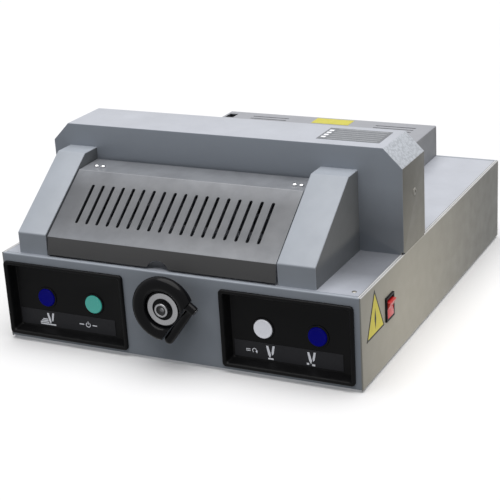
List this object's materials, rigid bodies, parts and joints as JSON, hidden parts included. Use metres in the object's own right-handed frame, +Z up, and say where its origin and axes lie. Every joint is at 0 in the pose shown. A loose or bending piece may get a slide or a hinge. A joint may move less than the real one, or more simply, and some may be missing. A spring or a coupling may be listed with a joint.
{
  "type": "desktop electric paper cutter",
  "caption": "Desktop electric guillotine paper cutter: flat base, gantry with knife and clamp, slotted hinged safety cover, rear cover, button pods and back-gauge handwheel.",
  "frame": {"origin": "middle of the underside of the bounding box, on the surface the feet stand on", "axes": "+X to the operator's right, +Y from the operator to the rear of the machine, +Z up"},
  "size_m": [0.5076, 0.588, 0.2568],
  "materials": {
    "panel_paint": "fine texture powder coat, semi-matt grey blue",
    "table_paint": "light grey powder coat, semi-matt",
    "side_paint": "fine hammer texture, warm grey",
    "arm_paint": "light blue grey powder coat",
    "cover_paint": "neutral grey semi-matt paint",
    "rear_cover_paint": "grey semi-matt paint",
    "bare_steel": "machined",
    "ground_steel": "ground",
    "screw_steel": "polished zinc",
    "pod_plastic": "moulded, fine grain",
    "label_dark": "printed film",
    "wheel_plastic": "polished moulding",
    "hub_metal": "turned",
    "blue_button": "glossy",
    "white_button": "glossy",
    "green_lens": "translucent lens",
    "red_rocker": "translucent red",
    "foot_rubber": "matt",
    "belt_rubber": "matt",
    "bush_bronze": "sintered bronze",
    "yellow_label": "printed film",
    "grey_label": "printed film",
    "stick_plastic": "satin",
    "motor_paint": "satin"
  },
  "bodies": {
    "machine_frame": {"bottom_plate": "bare_steel", "left_side_panel": "side_paint", "right_side_panel": "side_paint", "front_panel": "panel_paint", "rear_panel": "side_paint", "table_plate": "table_paint", "feet": "foot_rubber", "left_pod": "pod_plastic", "right_pod": "pod_plastic", "pod_label_plates": "label_dark", "button_rings": "pod_plastic", "power_lamp": "green_lens", "contact_blocks": "pod_plastic", "rocker_bezel": "pod_plastic", "inlet_socket": "pod_plastic", "left_arm": "arm_paint", "right_arm": "arm_paint", "hinge_bushes": "bush_bronze", "hood_front": "panel_paint", "hood_top": "table_paint", "hood_rear": "panel_paint", "left_column_cover": "panel_paint", "right_column_cover": "side_paint", "panel_screws": "screw_steel", "gantry_label": "grey_label", "side_sticker": "yellow_label", "frame_plates": "bare_steel", "crosshead": "bare_steel", "cutting_stick": "stick_plastic", "cross_rails": "bare_steel", "guide_rods": "ground_steel", "bearings": "bush_bronze", "knife_motor": "motor_paint", "drive_belt": "belt_rubber", "control_box": "motor_paint", "rear_hinge_leaf": "bare_steel"},
    "front_cover": {"safety_cover": "cover_paint", "cover_screws": "screw_steel", "cover_brackets": "bare_steel"},
    "rear_cover": {"rear_cover": "rear_cover_paint", "rear_label": "yellow_label"},
    "wheel": {"handwheel": "wheel_plastic", "hub_ring": "hub_metal", "hub_screw": "hub_metal", "handle_pivot": "screw_steel", "gauge_lead_screw": "ground_steel"},
    "folding_handle": {"crank_handle": "wheel_plastic"},
    "gauge": {"back_gauge": "bare_steel", "gauge_carriage": "bare_steel"},
    "knife": {"knife_carrier": "bare_steel", "blade": "ground_steel", "blade_bolts": "screw_steel"},
    "clamp": {"clamp_beam": "bare_steel"},
    "left_screw": {"left_knife_screw": "ground_steel"},
    "right_screw": {"right_knife_screw": "ground_steel"},
    "knife_button": {"knife_button": "blue_button"},
    "reset_button": {"reset_button": "white_button"},
    "clamp_button": {"clamp_button": "blue_button"},
    "mains_rocker": {"mains_rocker": "red_rocker"}
  },
  "joints": [
    {"name": "safety_cover_hinge", "type": "hinge", "parent": "machine_frame", "child": "front_cover", "pos_m": [-0.0229, -0.1415, 0.202], "axis": [-1, 0, 0], "range_deg": [0, 75]},
    {"name": "rear_cover_hinge", "type": "hinge", "parent": "machine_frame", "child": "rear_cover", "pos_m": [-0.01955, -0.033, 0.1644], "axis": [1, 0, 0], "range_deg": [0, 80]},
    {"name": "handwheel_spin", "type": "hinge", "parent": "machine_frame", "child": "wheel", "pos_m": [-0.00235, -0.286, 0.0836], "axis": [0, 1, 0], "range_deg": [-3511, 6031]},
    {"name": "back_gauge_slide", "type": "slide", "parent": "machine_frame", "child": "gauge", "axis": [0, 1, 0], "range_m": [-0.0975, 0.1675]},
    {"name": "crank_handle_fold", "type": "hinge", "parent": "wheel", "child": "folding_handle", "pos_m": [0.03723, -0.286, 0.08853], "axis": [-0.7934, 0, 0.6088], "range_deg": [0, 90]},
    {"name": "left_knife_screw_spin", "type": "hinge", "parent": "machine_frame", "child": "left_screw", "pos_m": [-0.20735, -0.1045, 0.103], "axis": [0, 0, 1], "range_deg": [0, 3421]},
    {"name": "right_knife_screw_spin", "type": "hinge", "parent": "machine_frame", "child": "right_screw", "pos_m": [0.17565, -0.1045, 0.103], "axis": [0, 0, 1], "range_deg": [0, 3421]},
    {"name": "knife_slide", "type": "slide", "parent": "machine_frame", "child": "knife", "axis": [0, 0, -1], "range_m": [0, 0.0475]},
    {"name": "clamp_slide", "type": "slide", "parent": "machine_frame", "child": "clamp", "axis": [0, 0, -1], "range_m": [0, 0.0456]},
    {"name": "knife_button_push", "type": "slide", "parent": "machine_frame", "child": "knife_button", "axis": [0, 1, 0], "range_m": [0, 0.003], "stiffness_N_per_m": 400},
    {"name": "reset_button_push", "type": "slide", "parent": "machine_frame", "child": "reset_button", "axis": [0, 1, 0], "range_m": [0, 0.003], "stiffness_N_per_m": 400},
    {"name": "clamp_button_push", "type": "slide", "parent": "machine_frame", "child": "clamp_button", "axis": [0, 1, 0], "range_m": [0, 0.003], "stiffness_N_per_m": 400},
    {"name": "mains_rocker_tilt", "type": "hinge", "parent": "machine_frame", "child": "mains_rocker", "pos_m": [0.24265, -0.1735, 0.0745], "axis": [0, 1, 0], "range_deg": [-20, 0]}
  ],
  "couplings": [
    {"joint": "handwheel_spin", "follows": "back_gauge_slide", "rad_per_m": 628.32},
    {"joint": "left_knife_screw_spin", "follows": "knife_slide", "rad_per_m": 1256.6},
    {"joint": "right_knife_screw_spin", "follows": "knife_slide", "rad_per_m": 1256.6}
  ]
}
